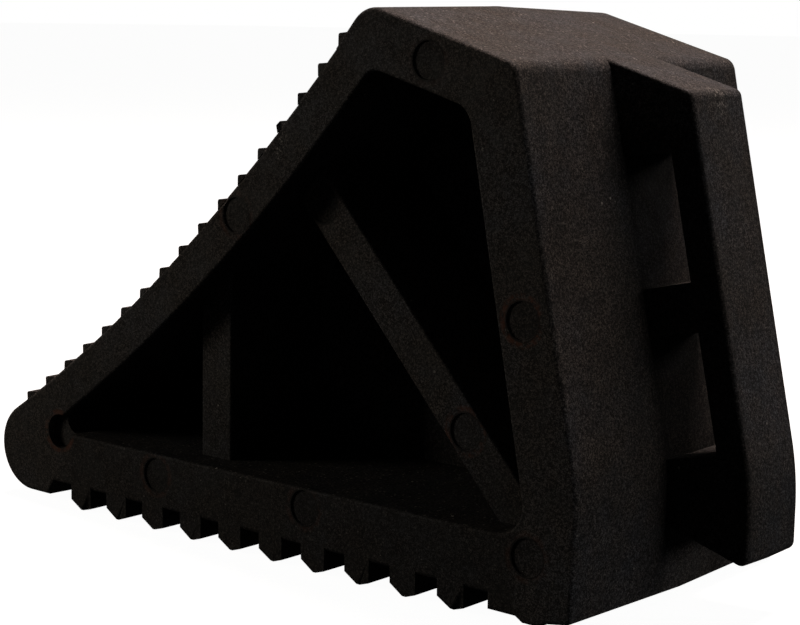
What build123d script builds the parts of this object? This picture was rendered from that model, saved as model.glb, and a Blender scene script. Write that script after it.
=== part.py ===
"""Solid rubber wheel chock with pocketed sides, a ribbed ramp, a tread base and a carry handle.

The chock lies along X with its nose at -X and its handle at +X. Y runs across it, and Z is up.
The origin is the centre of its footprint, on the level that the tread stands on.
It is a two-half moulding: everything is symmetric about the parting plane Y = 0, and the outer
walls lean inwards from there to each side face by the mould's draft angle.
"""
from build123d import *
from math import cos, radians, sin, tan
import os

os.makedirs("parts", exist_ok=True)

# ---- Whole chock -----------------------------------------------------------------------------
WIDTH = 102.0  # across the two side faces
DRAFT = 1.2  # mould draft of every outer wall, degrees
HALF = WIDTH / 2
SIDE_EDGE = 1.2  # rounding of the side faces' outer edges
SIDE = Plane.XZ.offset(HALF)  # the side face at -Y, seen from outside

# ---- Side outline, measured on a side face ------------------------------------------------------
NOSE_CENTRE = Vector(-108.5, 15.6)
NOSE_RADIUS = 13.5
NOSE_SOLE = 8.5  # length of the flat under the nose, behind its centre
NOSE_STEP = 3.0  # run of the slope from there up to the groove bottoms
RAMP_RADIUS = 597.0  # hollow of the ramp, a little larger than a truck tyre
RAMP_MIDDLE = -49.0  # an angle about half way up the ramp, about its centre, degrees
CROWN = Vector(27.8, 153.0)  # ramp and top meet here, before rounding
CROWN_RADIUS = 9.0
BACK_TOP = Vector(76.2, 138.8)
BACK_TOP_RADIUS = 4.0
BACK_BEND = Vector(98.1, 36.0)  # the leaning back turns upright here, in a long curve
BACK_BEND_RADIUS = 60.0
ROOT_Z = 6.7  # level of the groove bottoms between the tread teeth

# ---- Tread ---------------------------------------------------------------------------------------
TREAD_PITCH = 16.0
TOOTH_LENGTH = 8.75
TOOTH_COUNT = 10
LAST_TOOTH_X = 64.0  # back face of the tooth nearest the heel
TOOTH_ROOT_Z = ROOT_Z + 2  # teeth are drawn into the base wall, then trimmed to it
TOOTH_SHOULDER_Z = 2.7  # the nose-side face is cut back below this
TOOTH_TIP_FRONT = 4.2  # the flat tip lies this far to this far from the tooth's back face
TOOTH_TIP_BACK = 3.2
TOOTH_HEEL_Z = 1.0
TOOTH_EDGE = 0.6

# ---- Heel: the sole's lengths are measured forward from its back edge -------------------------------
HEEL_X = 71.25  # front face of the heel block
HEEL_BACK_X = 97.2
HEEL_TOP_Z = 25.7
HEEL_SOLE_Z = 2.4
HEEL_PAD_Z = 1.1  # a low pad stands out of the sole
HEEL_PAD_BACK = 10.0
HEEL_PAD_FRONT = 15.0
HEEL_PAD_FLANK = 2.2
HEEL_RISE = 7.5  # from here the sole slopes up to the back face, more steeply at its lip
HEEL_LIP = 1.5
HEEL_LIP_Z = 3.4
HEEL_BACK_Z = 4.4

# ---- Walls and pockets -----------------------------------------------------------------------------
RAMP_WALL = 12.0
FLOOR_Z = 22.7  # top of the base wall
POCKET_TOP = (30.2, 136.4)
POCKET_BACK_TOP = (62.1, 127.5)
POCKET_HEEL = (83.3, FLOOR_Z)
TOE_ANGLE = -56.1  # where the pocket's ramp side ends, about the ramp's centre
POCKET_TOE_LOW = (-87.0, FLOOR_Z)
TOE_PAD_RADIUS = 4.5
WEB = 10.0  # thickness of the wall between the two pockets
POCKET_DRAFT = 1.5
POCKET_DEPTH = HALF - WEB / 2
WEB_INSET = POCKET_DEPTH * tan(radians(POCKET_DRAFT))  # the pocket closes in by this at the web
POCKET_EDGE = 0.8
POCKET_CROWN_RADIUS = 5.5
POCKET_BACK_RADIUS = 7.0
POCKET_HEEL_RADIUS = 8.0

WALL_CLEAR = 30.0  # how far a seam between two wall pieces is drawn past the outside

# ---- Ribs, set back from the side faces ---------------------------------------------------------
RIB_SETBACK = 8.8
RIB_WIDTH = 12.2
RIB_EDGE = 0.8
RIB_FACE = Plane.XZ.offset(HALF - RIB_SETBACK)
UPRIGHT_RIB_CENTRE = (-34.7, 47.5)
UPRIGHT_RIB_LENGTH = 63.0  # each rib is drawn a little way into the walls, then trimmed to them
DIAGONAL_RIB_CENTRE = (40.6, 61.9)
DIAGONAL_RIB_LENGTH = 117.0
DIAGONAL_RIB_ANGLE = -47.7

# ---- Ramp ridges ------------------------------------------------------------------------------------
RIDGE_COUNT = 17
RIDGE_FIRST = -57.17  # angle of the lowest ridge about the ramp's centre, degrees
RIDGE_STEP = 1.03
RIDGE_HEIGHT = 2.1  # each ridge is a small step: an upright front and a nearly level top
RIDGE_TOP_SLOPE = 6.0
RIDGE_EDGE = 0.7
RIDGE_ROOT = 1.3  # how far a ridge is drawn into the wall before it is trimmed to it
RIDGE_INSET = 0.8  # the ridges end this far short of the side faces

# ---- Handle, measured on the fin's own side faces ---------------------------------------------------
HANDLE_WIDTH = 24.0
HANDLE_SIDE = Plane.XZ.offset(HANDLE_WIDTH / 2)
HANDLE_REACH = 26.2  # length of the fin's top, behind the back wall
HANDLE_ROOT = 7.0  # the fin is drawn this far into the back wall, then trimmed to it
HANDLE_BEND = Vector(122.9, 35.5)
HANDLE_BEND_RADIUS = 80.0
HANDLE_FOOT = Vector(122.9, 14.3)
HANDLE_FOOT_SLOPE = 16.7  # rise of the fin's foot towards the back wall, degrees
HANDLE_FOOT_RADIUS = 2.5
HANDLE_TOP_RADIUS = 2.5
HANDLE_EDGE = 1.0
HANDLE_LEAN = 12.6  # degrees that the back of the fin is off upright
GRIP = 8.3  # thickness of the bar between the windows and the back
WINDOWS = ((103.3, 34.1), (59.2, 31.2))  # height of each window's middle, and its length
WINDOW_REACH = 30.0  # far enough in to be closed by the back wall

# ---- Ejector pin marks: shallow round recesses ----------------------------------------------------
PIN_RADIUS = 4.9
PIN_DEPTH = 0.5
PIN_TAPER = 25.0  # slope of a mark's edge, degrees
PIN_MARKS = (
    (49.1, 138.8),
    (-18.2, 95.0),
    (80.3, 76.8),
    (-50.9, 16.5),
    (8.3, 17.3),
    (83.6, 18.2),
)
RIB_PIN_MARKS = ((6.4, 99.0), (56.6, 44.4))
TOE_MARK = (-94.0, 22.9)  # the mark at the nose is sunk deeper, with upright sides
TOE_MARK_RADIUS = 5.2
TOE_MARK_DEPTH = 2.5


def ramp_centre():
    """Centre of the ramp's arc, which passes through the crown and runs tangent into the nose."""
    line = CROWN - NOSE_CENTRE
    reach = RAMP_RADIUS + NOSE_RADIUS
    along = (reach**2 - RAMP_RADIUS**2 + line.length**2) / (2 * line.length)
    across = (reach**2 - along**2) ** 0.5
    return NOSE_CENTRE + (line * along + Vector(-line.Y, line.X) * across) / line.length


CENTRE = ramp_centre()
RAMP_FOOT = NOSE_CENTRE + (CENTRE - NOSE_CENTRE).normalized() * NOSE_RADIUS


def save(part, label):
    """Labels a finished piece and writes its STEP file."""
    part.label = label
    export_step(part, f"parts/{label}.step")


def on_ramp(angle, radius):
    """Point in the side view at an angle and a radius about the ramp's centre."""
    return CENTRE + Vector(cos(radians(angle)), sin(radians(angle))) * radius


# ==== Outlines =====================================================================================
def side_outline():
    """Side view of the walls without tread and ridges: nose, ramp, top, back and heel."""
    nose_x, nose_z = NOSE_CENTRE.X, NOSE_CENTRE.Y
    back_x = HEEL_BACK_X
    with BuildSketch() as outline:
        with BuildLine():
            ThreePointArc(RAMP_FOOT, on_ramp(RAMP_MIDDLE, RAMP_RADIUS), CROWN)
            Polyline(
                CROWN,
                BACK_TOP,
                BACK_BEND,
                (back_x, HEEL_BACK_Z),
                (back_x - HEEL_LIP, HEEL_LIP_Z),
                (back_x - HEEL_RISE, HEEL_SOLE_Z),
                (back_x - HEEL_PAD_BACK, HEEL_PAD_Z),
                (back_x - HEEL_PAD_FRONT, HEEL_PAD_Z),
                (back_x - HEEL_PAD_FRONT - HEEL_PAD_FLANK, HEEL_SOLE_Z),
                (HEEL_X, HEEL_SOLE_Z),
                (HEEL_X, ROOT_Z),
                (nose_x + NOSE_SOLE + NOSE_STEP, ROOT_Z),
                (nose_x + NOSE_SOLE, nose_z - NOSE_RADIUS),
                (nose_x, nose_z - NOSE_RADIUS),
                NOSE_CENTRE,
                RAMP_FOOT,
            )
        make_face()
        fillet(outline.vertices().sort_by(Axis.Y)[-1], radius=CROWN_RADIUS)
        upper = outline.vertices().filter_by_position(Axis.Y, FLOOR_Z * 2, CROWN.Y)
        fillet(upper.sort_by(Axis.X)[-1], radius=BACK_TOP_RADIUS)
        fillet(outline.vertices().sort_by(Axis.X)[-1], radius=BACK_BEND_RADIUS)
        with Locations(NOSE_CENTRE):
            Circle(NOSE_RADIUS)
    return outline.sketch


def pocket_outline():
    """Side view of a pocket's mouth: it follows the ramp, top and back, and ends at the toe pad."""
    ramp_side = RAMP_RADIUS + RAMP_WALL
    toe_high = on_ramp(TOE_ANGLE, ramp_side)
    with BuildSketch() as outline:
        with BuildLine():
            ThreePointArc(toe_high, on_ramp(RAMP_MIDDLE, ramp_side), POCKET_TOP)
            Polyline(POCKET_TOP, POCKET_BACK_TOP, POCKET_HEEL, POCKET_TOE_LOW)
            RadiusArc(POCKET_TOE_LOW, toe_high, TOE_PAD_RADIUS)
        make_face()
        fillet(outline.vertices().sort_by(Axis.X)[-1], radius=POCKET_HEEL_RADIUS)
        fillet(outline.vertices().sort_by(Axis.Y)[-1], radius=POCKET_CROWN_RADIUS)
        upper = outline.vertices().filter_by_position(Axis.Y, FLOOR_Z * 2, CROWN.Y)
        fillet(upper.sort_by(Axis.X)[-1], radius=POCKET_BACK_RADIUS)
    return outline.sketch


def on_side_face(shape_list):
    """The edges of a list that lie in the side face at -Y."""
    return shape_list.filter_by_position(Axis.Y, -HALF - 0.01, -HALF + 0.01)


# ==== The moulding, before it is told apart into its named pieces =================================
with BuildPart() as body:
    with BuildSketch(SIDE):
        add(side_outline())
    extrude(amount=-HALF, taper=-DRAFT)
    fillet(on_side_face(body.edges()), radius=SIDE_EDGE)
    with BuildSketch(SIDE):
        add(pocket_outline())
    extrude(amount=-POCKET_DEPTH, taper=POCKET_DRAFT, mode=Mode.SUBTRACT)
    mouth = on_side_face(body.edges()).filter_by_position(Axis.X, NOSE_CENTRE.X + 15, POCKET_HEEL[0])
    fillet(mouth.filter_by_position(Axis.Z, FLOOR_Z - 1, POCKET_TOP[1]), radius=POCKET_EDGE)
    with BuildSketch(SIDE):
        with Locations(*PIN_MARKS):
            Circle(PIN_RADIUS)
    extrude(amount=-PIN_DEPTH, taper=PIN_TAPER, mode=Mode.SUBTRACT)
    with BuildSketch(SIDE):
        with Locations(TOE_MARK):
            Circle(TOE_MARK_RADIUS)
    extrude(amount=-TOE_MARK_DEPTH, mode=Mode.SUBTRACT)
    mirror(about=Plane.XZ)
    with BuildSketch(Plane.XZ):
        add(pocket_outline())
        offset(amount=-WEB_INSET, mode=Mode.REPLACE)
    extrude(amount=WEB / 2, both=True, mode=Mode.SUBTRACT)


def wall_section(label, corners):
    """The stretch of the moulding's wall whose side view lies inside a polygon."""
    with BuildPart() as section:
        add(body.part)
        with BuildSketch(Plane.XZ):
            Polygon(*corners, align=None)
        extrude(amount=WIDTH, both=True, mode=Mode.INTERSECT)
    save(section.part, label)


# Seams run from a point in the pocket through its corners and on out through the wall.
inside = Vector(0, 60)
toe_high = on_ramp(TOE_ANGLE, RAMP_RADIUS + RAMP_WALL)
toe_seam = on_ramp(TOE_ANGLE, RAMP_RADIUS - WALL_CLEAR)
toe_low = Vector(*POCKET_TOE_LOW)
crown_seam = CROWN + Vector(-0.2, 1) * WALL_CLEAR
back_seam = BACK_TOP + Vector(1.3, 1) * WALL_CLEAR
left, right, below, above = -140, 140, -20, 170  # clear of the moulding all round

# ==== Nose: the round toe that is pushed under the tyre ============================================
wall_section(
    "nose",
    [toe_high, toe_seam, (left, inside.Y), (left, below), (toe_low.X, below), toe_low, inside],
)

# ==== Ramp wall: the hollow face that the tyre rolls against =======================================
wall_section("ramp_wall", [toe_high, toe_seam, (left, above), crown_seam, POCKET_TOP, inside])

# ==== Top wall =====================================================================================
wall_section("top_wall", [POCKET_TOP, crown_seam, back_seam, POCKET_BACK_TOP, inside])

# ==== Back wall: leaning wall behind the pockets, which carries the handle =========================
wall_section(
    "back_wall",
    [POCKET_BACK_TOP, back_seam, (right, HEEL_TOP_Z), (HEEL_X, HEEL_TOP_Z), inside],
)

# ==== Heel block: solid corner under the back wall =================================================
wall_section(
    "heel_block",
    [(HEEL_X, HEEL_TOP_Z), (right, HEEL_TOP_Z), (right, below), (HEEL_X, below)],
)

# ==== Base wall ====================================================================================
wall_section(
    "base_wall",
    [toe_low, (toe_low.X, below), (HEEL_X, below), (HEEL_X, HEEL_TOP_Z), inside],
)

# ==== Web: the upright wall at the parting plane that closes both pockets =========================
with BuildPart() as web:
    with BuildSketch(Plane.XZ):
        add(pocket_outline())
        offset(amount=-WEB_INSET, mode=Mode.REPLACE)
    extrude(amount=WEB / 2, both=True)
save(web.part, "web")


# ==== Ribs: two in each pocket, set back from the side face =======================================
def rib(label, centre, angle, length, marks, side):
    """A straight rib in one pocket, trimmed to the walls it runs into; side is -1 or 1 along Y."""
    with BuildPart() as piece:
        with BuildSketch(RIB_FACE):
            with Locations(Location(centre, angle)):
                Rectangle(length, RIB_WIDTH)
        extrude(amount=-(HALF - RIB_SETBACK - WEB / 2))
        fillet(piece.faces().sort_by(Axis.Y)[0].edges(), radius=RIB_EDGE)
        if marks:
            with BuildSketch(RIB_FACE):
                with Locations(*marks):
                    Circle(PIN_RADIUS)
            extrude(amount=-PIN_DEPTH, taper=PIN_TAPER, mode=Mode.SUBTRACT)
        add(body.part, mode=Mode.SUBTRACT)
        if side > 0:
            mirror(about=Plane.XZ, mode=Mode.REPLACE)
    save(piece.part, label)


for hand, side in (("left", 1), ("right", -1)):
    rib(f"upright_rib_{hand}", UPRIGHT_RIB_CENTRE, 90, UPRIGHT_RIB_LENGTH, (), side)
    rib(
        f"diagonal_rib_{hand}",
        DIAGONAL_RIB_CENTRE,
        DIAGONAL_RIB_ANGLE,
        DIAGONAL_RIB_LENGTH,
        RIB_PIN_MARKS,
        side,
    )

# ==== Ramp ridges: low cross bars that bite into the tyre =========================================
def ridge_profile(angle, lift):
    """One ridge in side view, at an angle about the ramp's centre, lifted off it by the draft."""
    corner = on_ramp(angle, RAMP_RADIUS - RIDGE_HEIGHT - lift)
    ramp_slope = radians(90 + angle)
    top_slope = radians(RIDGE_TOP_SLOPE)
    depth = RIDGE_HEIGHT + RIDGE_ROOT
    top = Vector(cos(top_slope), sin(top_slope)) * (depth / sin(ramp_slope - top_slope))
    with BuildSketch() as outline:
        Polygon(corner - Vector(0, depth / cos(ramp_slope)), corner + top, corner, align=None)
        fillet(outline.vertices().sort_by_distance(corner)[0], radius=RIDGE_EDGE)
    return outline.sketch


with BuildPart() as ridges:
    for count in range(RIDGE_COUNT):
        angle = RIDGE_FIRST + count * RIDGE_STEP
        with BuildSketch(Plane.XZ.offset(HALF - RIDGE_INSET)):
            add(ridge_profile(angle, 0))
        with BuildSketch(Plane.XZ):
            add(ridge_profile(angle, HALF * tan(radians(DRAFT))))
        loft()
    mirror(about=Plane.XZ)
    add(body.part, mode=Mode.SUBTRACT)
save(ridges.part, "ramp_ridges")

# ==== Tread teeth: cross bars under the base wall, cut back on the nose side ======================
with BuildPart() as tread:
    for count in range(TOOTH_COUNT):
        back = LAST_TOOTH_X - count * TREAD_PITCH
        front = back - TOOTH_LENGTH
        with BuildSketch(SIDE) as tooth:
            Polygon(
                (back, TOOTH_ROOT_Z),
                (front, TOOTH_ROOT_Z),
                (front, TOOTH_SHOULDER_Z),
                (back - TOOTH_TIP_FRONT, 0),
                (back - TOOTH_TIP_BACK, 0),
                (back, TOOTH_HEEL_Z),
                align=None,
            )
            fillet(tooth.vertices().group_by(Axis.Y)[0], radius=TOOTH_EDGE)
        extrude(amount=-WIDTH)
    add(body.part, mode=Mode.SUBTRACT)
save(tread.part, "tread_teeth")

# ==== Handle: a fin on the back wall with two windows for the fingers =============================
def handle_outline():
    """Side view of the fin, drawn from inside the back wall; its top runs on from the top wall."""
    top_run = (BACK_TOP - CROWN).normalized()
    lift = Vector(-top_run.Y, top_run.X) * ((HALF - HANDLE_WIDTH / 2) * tan(radians(DRAFT)))
    top_back = BACK_TOP + lift + top_run * HANDLE_REACH
    foot_run = HANDLE_FOOT.X - BACK_BEND.X + HANDLE_ROOT
    with BuildSketch() as outline:
        Polygon(
            top_back - top_run * (HANDLE_REACH + HANDLE_ROOT),
            top_back,
            HANDLE_BEND,
            HANDLE_FOOT,
            HANDLE_FOOT + Vector(-1, tan(radians(HANDLE_FOOT_SLOPE))) * foot_run,
            align=None,
        )
        fillet(outline.vertices().sort_by_distance(HANDLE_FOOT)[0], radius=HANDLE_FOOT_RADIUS)
        fillet(outline.vertices().sort_by_distance(HANDLE_BEND)[0], radius=HANDLE_BEND_RADIUS)
        fillet(outline.vertices().sort_by_distance(top_back)[0], radius=HANDLE_TOP_RADIUS)
    return outline.sketch


def window_centre(middle):
    """Centre of a window's cutter at a height: its outer edge leaves the grip bar standing."""
    outward = Vector(cos(radians(HANDLE_LEAN)), sin(radians(HANDLE_LEAN)))
    back = HANDLE_BEND + Vector(-tan(radians(HANDLE_LEAN)), 1) * (middle - HANDLE_BEND.Y)
    return back - outward * (GRIP + WINDOW_REACH / 2)


with BuildPart() as handle:
    with BuildSketch(HANDLE_SIDE):
        add(handle_outline())
    extrude(amount=-HANDLE_WIDTH / 2, taper=-DRAFT)
    rim = handle.edges().filter_by_position(Axis.Y, -HANDLE_WIDTH / 2 - 0.01, -HANDLE_WIDTH / 2 + 0.01)
    fillet(rim.filter_by_position(Axis.X, BACK_TOP.X - 8, 130), radius=HANDLE_EDGE)
    mirror(about=Plane.XZ)
    with BuildSketch(Plane.XZ):
        for middle, length in WINDOWS:
            with Locations(Location(window_centre(middle), HANDLE_LEAN)):
                Rectangle(WINDOW_REACH, length)
    extrude(amount=WIDTH, both=True, mode=Mode.SUBTRACT)
    add(body.part, mode=Mode.SUBTRACT)


def handle_section(label, corners):
    """The stretch of the fin whose side view lies inside a polygon."""
    with BuildPart() as section:
        add(handle.part)
        with BuildSketch(Plane.XZ):
            Polygon(*corners, align=None)
        extrude(amount=WIDTH, both=True, mode=Mode.INTERSECT)
    save(section.part, label)


# Seams run along the windows' outer edges and across the fin through the windows.
seam_run = Vector(-tan(radians(HANDLE_LEAN)), 1)
seam_foot = HANDLE_BEND - Vector(GRIP / cos(radians(HANDLE_LEAN)), 0)
low = seam_foot - seam_run * 60
high = seam_foot + seam_run * 140
cuts = [seam_foot + seam_run * (middle - HANDLE_BEND.Y) for middle, _ in WINDOWS]
walls = [Vector(BACK_TOP.X - 20, cut.Y) for cut in cuts]

handle_section("handle_grip_bar", [low, high, (160, high.Y), (160, low.Y)])
handle_section("handle_upper_bridge", [high, cuts[0], walls[0], (walls[0].X, high.Y)])
handle_section("handle_middle_bridge", [cuts[0], walls[0], walls[1], cuts[1]])
handle_section("handle_lower_bridge", [cuts[1], walls[1], (walls[1].X, low.Y), low])
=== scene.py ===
"""Looks of the rubber wheel chock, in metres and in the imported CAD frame.

The CAD nodes are shown as they are, in worn black rubber. Worn copies stand for the ramp ridges and the
tread teeth, and a parting line is added along the top.
"""

import math

import bmesh
import bpy
from mathutils import Matrix, Vector, noise
from mathutils.bvhtree import BVHTree


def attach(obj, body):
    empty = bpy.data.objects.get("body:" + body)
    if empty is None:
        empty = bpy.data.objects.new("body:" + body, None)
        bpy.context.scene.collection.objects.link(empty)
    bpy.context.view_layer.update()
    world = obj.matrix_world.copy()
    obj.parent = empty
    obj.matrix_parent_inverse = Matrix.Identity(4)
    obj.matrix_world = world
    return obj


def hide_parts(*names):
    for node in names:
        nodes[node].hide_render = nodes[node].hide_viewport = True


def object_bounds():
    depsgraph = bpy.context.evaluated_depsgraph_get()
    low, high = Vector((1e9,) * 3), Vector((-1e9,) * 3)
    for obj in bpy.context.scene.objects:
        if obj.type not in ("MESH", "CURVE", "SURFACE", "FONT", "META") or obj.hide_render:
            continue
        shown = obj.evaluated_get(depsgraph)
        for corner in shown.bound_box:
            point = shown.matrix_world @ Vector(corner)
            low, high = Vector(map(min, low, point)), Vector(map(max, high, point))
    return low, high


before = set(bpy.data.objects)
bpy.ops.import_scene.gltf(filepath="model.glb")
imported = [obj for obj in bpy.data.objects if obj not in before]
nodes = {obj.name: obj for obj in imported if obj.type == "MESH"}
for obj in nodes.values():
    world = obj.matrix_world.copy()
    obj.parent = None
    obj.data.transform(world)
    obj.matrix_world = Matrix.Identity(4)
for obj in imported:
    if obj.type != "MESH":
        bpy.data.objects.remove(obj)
cad_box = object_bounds()

MM = 0.001

# ---- Camera ------------------------------------------------------------------------------------
CAMERA_PLACE = Vector((0.35327, -0.41869, 0.14824))
CAMERA_AZIMUTH = 40.30  # from -Y towards +X, degrees
CAMERA_ELEVATION = 8.68
CAMERA_ROLL = -0.936
CAMERA_LENS = 85.81  # on a 36 mm wide sensor


def add_camera():
    """Looks at the near side and the back from a little above, with a slight roll."""
    azimuth, elevation = math.radians(CAMERA_AZIMUTH), math.radians(CAMERA_ELEVATION)
    back = Vector(
        (
            math.sin(azimuth) * math.cos(elevation),
            -math.cos(azimuth) * math.cos(elevation),
            math.sin(elevation),
        )
    )
    level_right = Vector((0, 0, 1)).cross(back).normalized()
    level_up = back.cross(level_right)
    roll = math.radians(CAMERA_ROLL)
    right = level_right * math.cos(roll) - level_up * math.sin(roll)
    up = level_right * math.sin(roll) + level_up * math.cos(roll)
    data = bpy.data.cameras.new("camera")
    data.lens = CAMERA_LENS
    data.sensor_width = 36
    camera = bpy.data.objects.new("camera", data)
    turn = Matrix((right, up, back)).transposed().to_4x4()
    camera.matrix_world = Matrix.Translation(CAMERA_PLACE) @ turn
    bpy.context.scene.collection.objects.link(camera)
    bpy.context.scene.camera = camera


# ---- Node helpers --------------------------------------------------------------------------------
class Nodes:
    """Short ways to add and join shader nodes in one material."""

    def __init__(self, name):
        self.material = bpy.data.materials.new(name)
        self.material.use_nodes = True
        self.tree = self.material.node_tree
        self.tree.nodes.clear()

    def add(self, kind, **values):
        node = self.tree.nodes.new(kind)
        for key, value in values.items():
            setattr(node, key, value)
        return node

    def link(self, source, target):
        self.tree.links.new(source, target)

    def feed(self, socket, value):
        if isinstance(value, bpy.types.NodeSocket):
            self.link(value, socket)
        else:
            socket.default_value = value

    def math(self, operation, a, b=0.0):
        node = self.add("ShaderNodeMath", operation=operation)
        self.feed(node.inputs[0], a)
        self.feed(node.inputs[1], b)
        return node.outputs[0]

    def ramp(self, value, low, high, to_low=0.0, to_high=1.0):
        """A smooth step of a value from one level to another."""
        node = self.add("ShaderNodeMapRange", interpolation_type="SMOOTHSTEP")
        self.feed(node.inputs["Value"], value)
        levels = {"From Min": low, "From Max": high, "To Min": to_low, "To Max": to_high}
        for name, level in levels.items():
            self.feed(node.inputs[name], level)
        return node.outputs["Result"]

    def noise(self, place, per_metre, detail=3.0, roughness=0.55):
        node = self.add("ShaderNodeTexNoise")
        self.link(place, node.inputs["Vector"])
        node.inputs["Scale"].default_value = per_metre
        node.inputs["Detail"].default_value = detail
        node.inputs["Roughness"].default_value = roughness
        return node.outputs["Fac"]

    def specks(self, place, per_metre, radius, share):
        """Round specks in a share of the cells: 1 inside a speck. The largest radius is in cells."""
        cells = self.add("ShaderNodeTexVoronoi", feature="F1")
        self.link(place, cells.inputs["Vector"])
        cells.inputs["Scale"].default_value = per_metre
        chance = self.add("ShaderNodeSeparateColor")
        self.link(cells.outputs["Color"], chance.inputs["Color"])
        chosen = self.math("LESS_THAN", chance.outputs["Red"], share)
        size = self.math("MULTIPLY", chance.outputs["Green"], radius)
        near = self.math("LESS_THAN", cells.outputs["Distance"], size)
        return self.math("MULTIPLY", near, chosen)

    def mix(self, factor, a, b, blend="MIX"):
        node = self.add("ShaderNodeMix", data_type="RGBA", blend_type=blend)
        self.feed(node.inputs["Factor"], factor)
        self.feed(node.inputs[6], a)
        self.feed(node.inputs[7], b)
        return node.outputs[2]


# ---- Worn black rubber -----------------------------------------------------------------------------
RUBBER_DARK = (0.030, 0.0260, 0.0230, 1)
RUBBER_PALE = (0.080, 0.066, 0.057, 1)
RUBBER_BLUE = (0.034, 0.036, 0.042, 1)
RUST = (0.130, 0.042, 0.020, 1)
DUST = (0.50, 0.47, 0.43, 1)
# near black: the pits, and the painted shade in the pin marks
PIT_AND_PAINTED_SHADE = (0.004, 0.004, 0.004, 1)

# How fine each noise and each kind of speck is, per metre
CLOUD, MOTTLE, GRAIN, FINE = 28, 150, 1300, 2900
SMALL_DUST, LARGE_DUST, PITS = 1300, 500, 190
BUMP_DEPTH = 0.3 * MM

PIN_RADIUS = 5.0 * MM
PIN_MARKS = (  # ejector pin marks on each side: x, z and how rusty the rim is
    (0.0491, 0.1388, 0.15),
    (-0.0182, 0.0950, 0.45),
    (0.0803, 0.0768, 1.0),
    (-0.0940, 0.0229, 1.0),
    (-0.0509, 0.0165, 0.4),
    (0.0083, 0.0173, 0.3),
    (0.0836, 0.0182, 0.3),
    (0.0064, 0.0990, 0.1),
    (0.0566, 0.0444, 0.7),
)


def pin_marks(m, place):
    """Rust round the pin marks, and painted shade on the rim of each recess with a darker disc inside:
    both 0 to 1.
    """
    spread = m.add("ShaderNodeSeparateXYZ")
    m.link(place, spread.inputs[0])
    rust = mark_shade = 0.0
    for x, z, rusty in PIN_MARKS:
        across = m.math("SUBTRACT", spread.outputs["X"], x)
        upward = m.math("SUBTRACT", spread.outputs["Z"], z)
        across_square = m.math("MULTIPLY", across, across)
        upward_square = m.math("MULTIPLY", upward, upward)
        reach = m.math("SQRT", m.math("ADD", across_square, upward_square))
        off_ring = m.math("ABSOLUTE", m.math("SUBTRACT", reach, PIN_RADIUS + 0.8 * MM))
        rust = m.math("MAXIMUM", rust, m.ramp(off_ring, 0.3 * MM, 1.5 * MM, rusty, 0.0))
        # painted shade: a dark ring on the wall of each recessed mark, and a darker disc inside
        off_rim = m.math("ABSOLUTE", m.math("SUBTRACT", reach, PIN_RADIUS))
        rim = m.ramp(off_rim, 0.15 * MM, 0.55 * MM, 0.75, 0.0)
        disc = m.ramp(reach, PIN_RADIUS - 0.5 * MM, PIN_RADIUS, 0.35, 0.0)
        mark_shade = m.math("MAXIMUM", mark_shade, m.math("MAXIMUM", rim, disc))
    ragged = m.ramp(m.noise(place, 420, 3, 0.7), 0.38, 0.60)
    return m.math("MULTIPLY", rust, ragged), mark_shade


FLECKS = (  # worn pale places: centre and size, in millimetres
    ((103.5, 0.0, 131.0), 6.0),
    ((48.3, -51.0, 138.1), 0.8),
    ((0.0, -51.0, 116.5), 3.0),
    ((-1.9, -51.0, 113.2), 2.5),
    ((67.4, -51.0, 117.6), 1.0),
)


def worn_flecks(m, place):
    """Small places where the skin is rubbed pale: 0 to 1."""
    ragged = m.ramp(m.noise(place, 1100, 3, 0.7), 0.52, 0.66)
    total = 0.0
    for centre, size in FLECKS:
        gap = m.add("ShaderNodeVectorMath", operation="DISTANCE")
        m.link(place, gap.inputs[0])
        gap.inputs[1].default_value = [value * MM for value in centre]
        rubbed = m.ramp(gap.outputs["Value"], size * 0.4 * MM, size * MM, 1.0, 0.0)
        total = m.math("MAXIMUM", total, rubbed)
    return m.math("MULTIPLY", total, ragged)


def darker_low_and_painted_handle_shade(m, place):
    """Darkening, the same on both sides: darker low down between heel and nose, and painted shade on
    the back beside the handle.
    """
    spread = m.add("ShaderNodeSeparateXYZ")
    m.link(place, spread.inputs[0])
    # darker towards the bottom, except at the heel and the nose
    low_down = m.ramp(spread.outputs["Z"], 0.020, 0.055, 0.55, 1.0)
    heel = m.ramp(spread.outputs["X"], 0.070, 0.085)
    nose = m.ramp(spread.outputs["X"], -0.095, -0.080, 1.0, 0.0)
    low_down = m.math("MAXIMUM", low_down, m.math("MAXIMUM", heel, nose))
    off_middle = m.math("ABSOLUTE", spread.outputs["Y"])
    # painted shade: the back wall beside the handle is darkened towards the handle, where the fin
    # shades it
    off_handle = m.ramp(off_middle, 0.009, 0.012)
    fading = m.ramp(off_middle, 0.014, 0.030, 1.0, 0.0)
    corner = m.math("MULTIPLY", off_handle, fading)
    back_wall = m.ramp(spread.outputs["X"], 0.074, 0.080)
    under_top = m.ramp(spread.outputs["Z"], 0.118, 0.126, 1.0, 0.0)
    beside = m.math("MULTIPLY", corner, m.math("MULTIPLY", back_wall, under_top))
    kept = m.math("SUBTRACT", 1.0, m.math("MULTIPLY", beside, 0.45))
    return m.math("MULTIPLY", low_down, kept)


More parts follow.
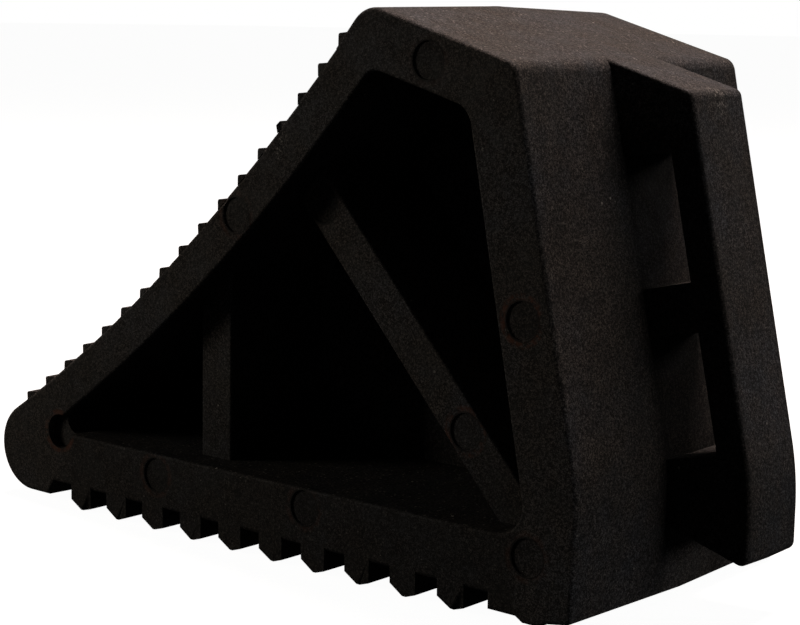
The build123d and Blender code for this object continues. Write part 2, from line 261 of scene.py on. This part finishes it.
def rubber(name):
    """Matt black rubber: mottling, grain, pale specks, pits, worn flecks, rusty pin marks, darker low
    down, and painted shade in the pin marks and beside the handle.
    """
    m = Nodes(name)
    place = m.add("ShaderNodeTexCoord").outputs["Object"]
    cloud = m.noise(place, CLOUD, 4, 0.6)
    mottle = m.noise(place, MOTTLE, 5, 0.65)
    grain = m.noise(place, GRAIN, 3, 0.8)
    fine = m.noise(place, FINE, 2, 0.7)
    tone = m.mix(m.ramp(cloud, 0.35, 0.7), RUBBER_DARK, RUBBER_BLUE)
    tone = m.mix(m.ramp(mottle, 0.3, 0.8, 0.0, 0.45), tone, RUBBER_PALE)
    grain_shade = m.ramp(grain, 0.40, 0.62, 0.30, 1.70)
    fine_shade = m.ramp(fine, 0.40, 0.60, 0.25, 1.75)
    shade = m.math("MULTIPLY", grain_shade, fine_shade)
    # darker low down, and painted shade on the back beside the handle
    tone = m.mix(1.0, tone, m.math("MULTIPLY", shade, darker_low_and_painted_handle_shade(m, place)), "MULTIPLY")
    facing = m.add("ShaderNodeSeparateXYZ")
    m.link(m.add("ShaderNodeNewGeometry").outputs["Normal"], facing.inputs[0])
    sideways = m.ramp(m.math("ABSOLUTE", facing.outputs["Y"]), 0.7, 0.9)
    rust, mark_shade = pin_marks(m, place)
    tone = m.mix(m.math("MULTIPLY", m.math("MULTIPLY", rust, sideways), 0.6), tone, RUST)
    # painted shade on the rims of the pin marks, with their darker discs
    tone = m.mix(m.math("MULTIPLY", mark_shade, sideways), tone, PIT_AND_PAINTED_SHADE)
    settled = m.ramp(facing.outputs["Z"], 0.5, 0.9)
    small = m.specks(place, SMALL_DUST, 0.50, 0.14)
    small_share = m.ramp(settled, 0.0, 1.0, 0.08, 0.24)
    tone = m.mix(m.math("MULTIPLY", small, small_share), tone, DUST)
    large = m.specks(place, LARGE_DUST, 0.20, 0.035)
    large_share = m.ramp(settled, 0.0, 1.0, 0.35, 0.7)
    tone = m.mix(m.math("MULTIPLY", large, large_share), tone, DUST)
    tone = m.mix(m.math("MULTIPLY", worn_flecks(m, place), 0.6), tone, DUST)
    pits = m.specks(place, PITS, 0.13, 0.10)
    tone = m.mix(m.math("MULTIPLY", pits, 0.8), tone, PIT_AND_PAINTED_SHADE)
    shader = m.add("ShaderNodeBsdfPrincipled")
    m.link(tone, shader.inputs["Base Color"])
    m.link(m.ramp(mottle, 0.3, 0.7, 0.66, 0.86), shader.inputs["Roughness"])
    shader.inputs["Specular IOR Level"].default_value = 0.22
    height = m.math("ADD", m.math("MULTIPLY", grain, 0.55), m.math("MULTIPLY", fine, 0.3))
    height = m.math("ADD", height, m.math("MULTIPLY", mottle, 1.3))
    height = m.math("SUBTRACT", height, m.math("MULTIPLY", pits, 1.2))
    bump = m.add("ShaderNodeBump")
    bump.inputs["Strength"].default_value = 0.5
    bump.inputs["Distance"].default_value = BUMP_DEPTH
    m.link(height, bump.inputs["Height"])
    m.link(bump.outputs["Normal"], shader.inputs["Normal"])
    out = m.add("ShaderNodeOutputMaterial")
    m.link(shader.outputs["BSDF"], out.inputs["Surface"])
    return m.material


# ---- Worn tread -----------------------------------------------------------------------------------
WEAR_SIZE, WEAR_DEPTH = 2.4 * MM, 0.26 * MM
TEAR_SIZE, TEAR_DEPTH = 1.3 * MM, 1.5 * MM
TEAR_REACH = 7 * MM
WEAR_ONSET = 1.0 * MM  # wear grows from nothing at a wall to its full depth this far off it
SHARP_ANGLE = math.radians(32)
WEAR_SEED = 5
noise.seed_set(WEAR_SEED)  # the noise vectors start from the clock unless they are seeded


def tree_of(name):
    return BVHTree.FromObject(nodes[name], bpy.context.evaluated_depsgraph_get())


def waver(place, size, depth):
    """A soft push, in metres, that varies with the place."""
    return noise.noise_vector(Vector(place) / size) * depth


TORN_RIDGE = Vector((-0.0030, -0.0505, 0.1215))
TREAD = ("ramp_ridges", "tread_teeth")
wall_trees = [tree_of(name) for name in sorted(nodes) if name not in TREAD]


def worn(place):
    """The push of the wear on ridges and teeth. One ridge is bent near its end."""
    gaps = [tree.find_nearest(place, WEAR_ONSET)[3] for tree in wall_trees]
    share = min([gap / WEAR_ONSET for gap in gaps if gap is not None], default=1.0)
    near = max(0.0, 1 - (Vector(place) - TORN_RIDGE).length / TEAR_REACH)
    push = waver(place, WEAR_SIZE, WEAR_DEPTH) + waver(place, TEAR_SIZE, TEAR_DEPTH) * near
    return push * share


def worn_tread(node, material):
    """A copy of a tread group with its wear. It stands for the CAD piece."""
    mesh = nodes[node].data.copy()
    work = bmesh.new()
    work.from_mesh(mesh)
    bmesh.ops.remove_doubles(work, verts=work.verts, dist=0.001 * MM)
    low, high = cad_box
    for vert in work.verts:
        push = worn(vert.co)
        for axis in range(3):
            vert.co[axis] = min(max(vert.co[axis] + push[axis], low[axis]), high[axis])
    work.to_mesh(mesh)
    work.free()
    for face in mesh.polygons:
        face.use_smooth = True
    mesh.set_sharp_from_angle(angle=SHARP_ANGLE)
    mesh.materials.clear()
    mesh.materials.append(material)
    piece = bpy.data.objects.new(f"worn_{node}", mesh)
    bpy.context.scene.collection.objects.link(piece)
    even = piece.modifiers.new("flat faces stay flat", "WEIGHTED_NORMAL")
    even.keep_sharp = True
    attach(piece, "root")
    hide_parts(node)


# ---- Parting line ---------------------------------------------------------------------------------
BEAD_PROFILE = ((-1.5, -0.08), (-0.8, 0.14), (0.0, 0.22), (0.8, 0.14), (1.5, -0.08))  # across, up, mm
BEAD_START, BEAD_END = 0.030, 0.094  # along X, on the flat top
BEAD_STEPS = 40


def parting_line(material):
    """A low rounded line of flash along the middle of the top, where the halves of the mould met."""
    work = bmesh.new()
    rows = []
    for k in range(BEAD_STEPS + 1):
        x = BEAD_START + (BEAD_END - BEAD_START) * k / BEAD_STEPS
        hits = [tree.ray_cast(Vector((x, 0, 1)), Vector((0, 0, -1)))[0] for tree in wall_trees]
        place = max((hit for hit in hits if hit), key=lambda hit: hit.z)
        lift = 0.7 + 0.6 * noise.noise(place / (5 * MM))
        row = [place + Vector((0, across, up * lift)) * MM for across, up in BEAD_PROFILE]
        rows.append([work.verts.new(corner) for corner in row])
    for here, there in zip(rows, rows[1:]):
        for k in range(len(BEAD_PROFILE)):
            n = (k + 1) % len(BEAD_PROFILE)
            work.faces.new((here[k], here[n], there[n], there[k]))
    work.faces.new(rows[0][::-1])
    work.faces.new(rows[-1])
    bmesh.ops.recalc_face_normals(work, faces=work.faces)
    for vert in work.verts:
        vert.co.z = min(vert.co.z, cad_box[1][2])
    mesh = bpy.data.meshes.new("parting_line")
    work.to_mesh(mesh)
    work.free()
    for face in mesh.polygons:
        face.use_smooth = True
    mesh.set_sharp_from_angle(angle=SHARP_ANGLE)
    mesh.materials.append(material)
    piece = bpy.data.objects.new("parting_line", mesh)
    bpy.context.scene.collection.objects.link(piece)
    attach(piece, "root")


# ---- Stage ------------------------------------------------------------------------------------------
FLOOR_GLOW = 0.97  # the floor shows almost white by its own light, and lights nothing
FLOOR_GAP = 0.2 * MM


def floor():
    """A plain pale floor, just under the chock. Of the shadow on it only a trace shows."""
    low = cad_box[0]
    mesh = bpy.data.meshes.new("floor")
    shape = bmesh.new()
    bmesh.ops.create_grid(shape, x_segments=1, y_segments=1, size=30)
    shape.to_mesh(mesh)
    shape.free()
    ground = bpy.data.objects.new("floor", mesh)
    ground.location.z = low[2] - FLOOR_GAP
    bpy.context.scene.collection.objects.link(ground)
    m = Nodes("floor")
    shader = m.add("ShaderNodeBsdfPrincipled")
    shader.inputs["Base Color"].default_value = (0.25, 0.25, 0.25, 1)
    shader.inputs["Roughness"].default_value = 0.9
    shader.inputs["Specular IOR Level"].default_value = 0.0
    shader.inputs["Emission Color"].default_value = (1, 1, 1, 1)
    shader.inputs["Emission Strength"].default_value = FLOOR_GLOW
    out = m.add("ShaderNodeOutputMaterial")
    m.link(shader.outputs["BSDF"], out.inputs["Surface"])
    mesh.materials.append(m.material)
    ground.visible_diffuse = False
    ground.visible_glossy = False


def area_light(name, place, target, size, watts, color=(1, 1, 1)):
    data = bpy.data.lights.new(name, "AREA")
    data.size = size
    data.energy = watts
    data.color = color
    lamp = bpy.data.objects.new(name, data)
    lamp.location = place
    lamp.rotation_euler = (Vector(target) - Vector(place)).to_track_quat("-Z", "Y").to_euler()
    bpy.context.scene.collection.objects.link(lamp)


def lights():
    """A soft light overhead, and three weak ones: by the nose, beyond the far side, behind the heel."""
    middle = Vector((0, 0, 0.08))
    area_light("overhead", (-0.10, 0.40, 1.45), middle, 0.6, 27, (1.0, 0.81, 0.73))
    area_light("nose_fill", (-1.2, -0.85, 0.40), middle, 0.4, 3.7, (1.0, 0.90, 0.77))
    area_light("far_rim", (0.60, 1.30, 0.70), middle, 0.4, 1.5, (1.0, 0.92, 0.86))
    area_light("heel_fill", (1.40, 0.10, 0.18), middle, 0.35, 2.4, (1.0, 0.95, 0.90))
    world = bpy.data.worlds.new("world")
    bpy.context.scene.world = world
    world.use_nodes = True
    tree = world.node_tree
    tree.nodes.clear()
    seen = tree.nodes.new("ShaderNodeBackground")
    seen.inputs["Strength"].default_value = 1.0
    lit = tree.nodes.new("ShaderNodeBackground")
    lit.inputs["Strength"].default_value = 0.012
    which = tree.nodes.new("ShaderNodeMixShader")
    path = tree.nodes.new("ShaderNodeLightPath")
    out = tree.nodes.new("ShaderNodeOutputWorld")
    for node in (seen, lit):
        node.inputs["Color"].default_value = (1, 1, 1, 1)
    tree.links.new(path.outputs["Is Camera Ray"], which.inputs[0])
    tree.links.new(lit.outputs[0], which.inputs[1])
    tree.links.new(seen.outputs[0], which.inputs[2])
    tree.links.new(which.outputs[0], out.inputs["Surface"])
    bpy.context.scene.view_settings.view_transform = "Standard"


black_rubber = rubber("black_rubber")
for name in sorted(nodes):
    if name in TREAD:
        worn_tread(name, black_rubber)
    else:
        nodes[name].data.materials.clear()
        nodes[name].data.materials.append(black_rubber)
parting_line(black_rubber)

floor()
lights()
add_camera()
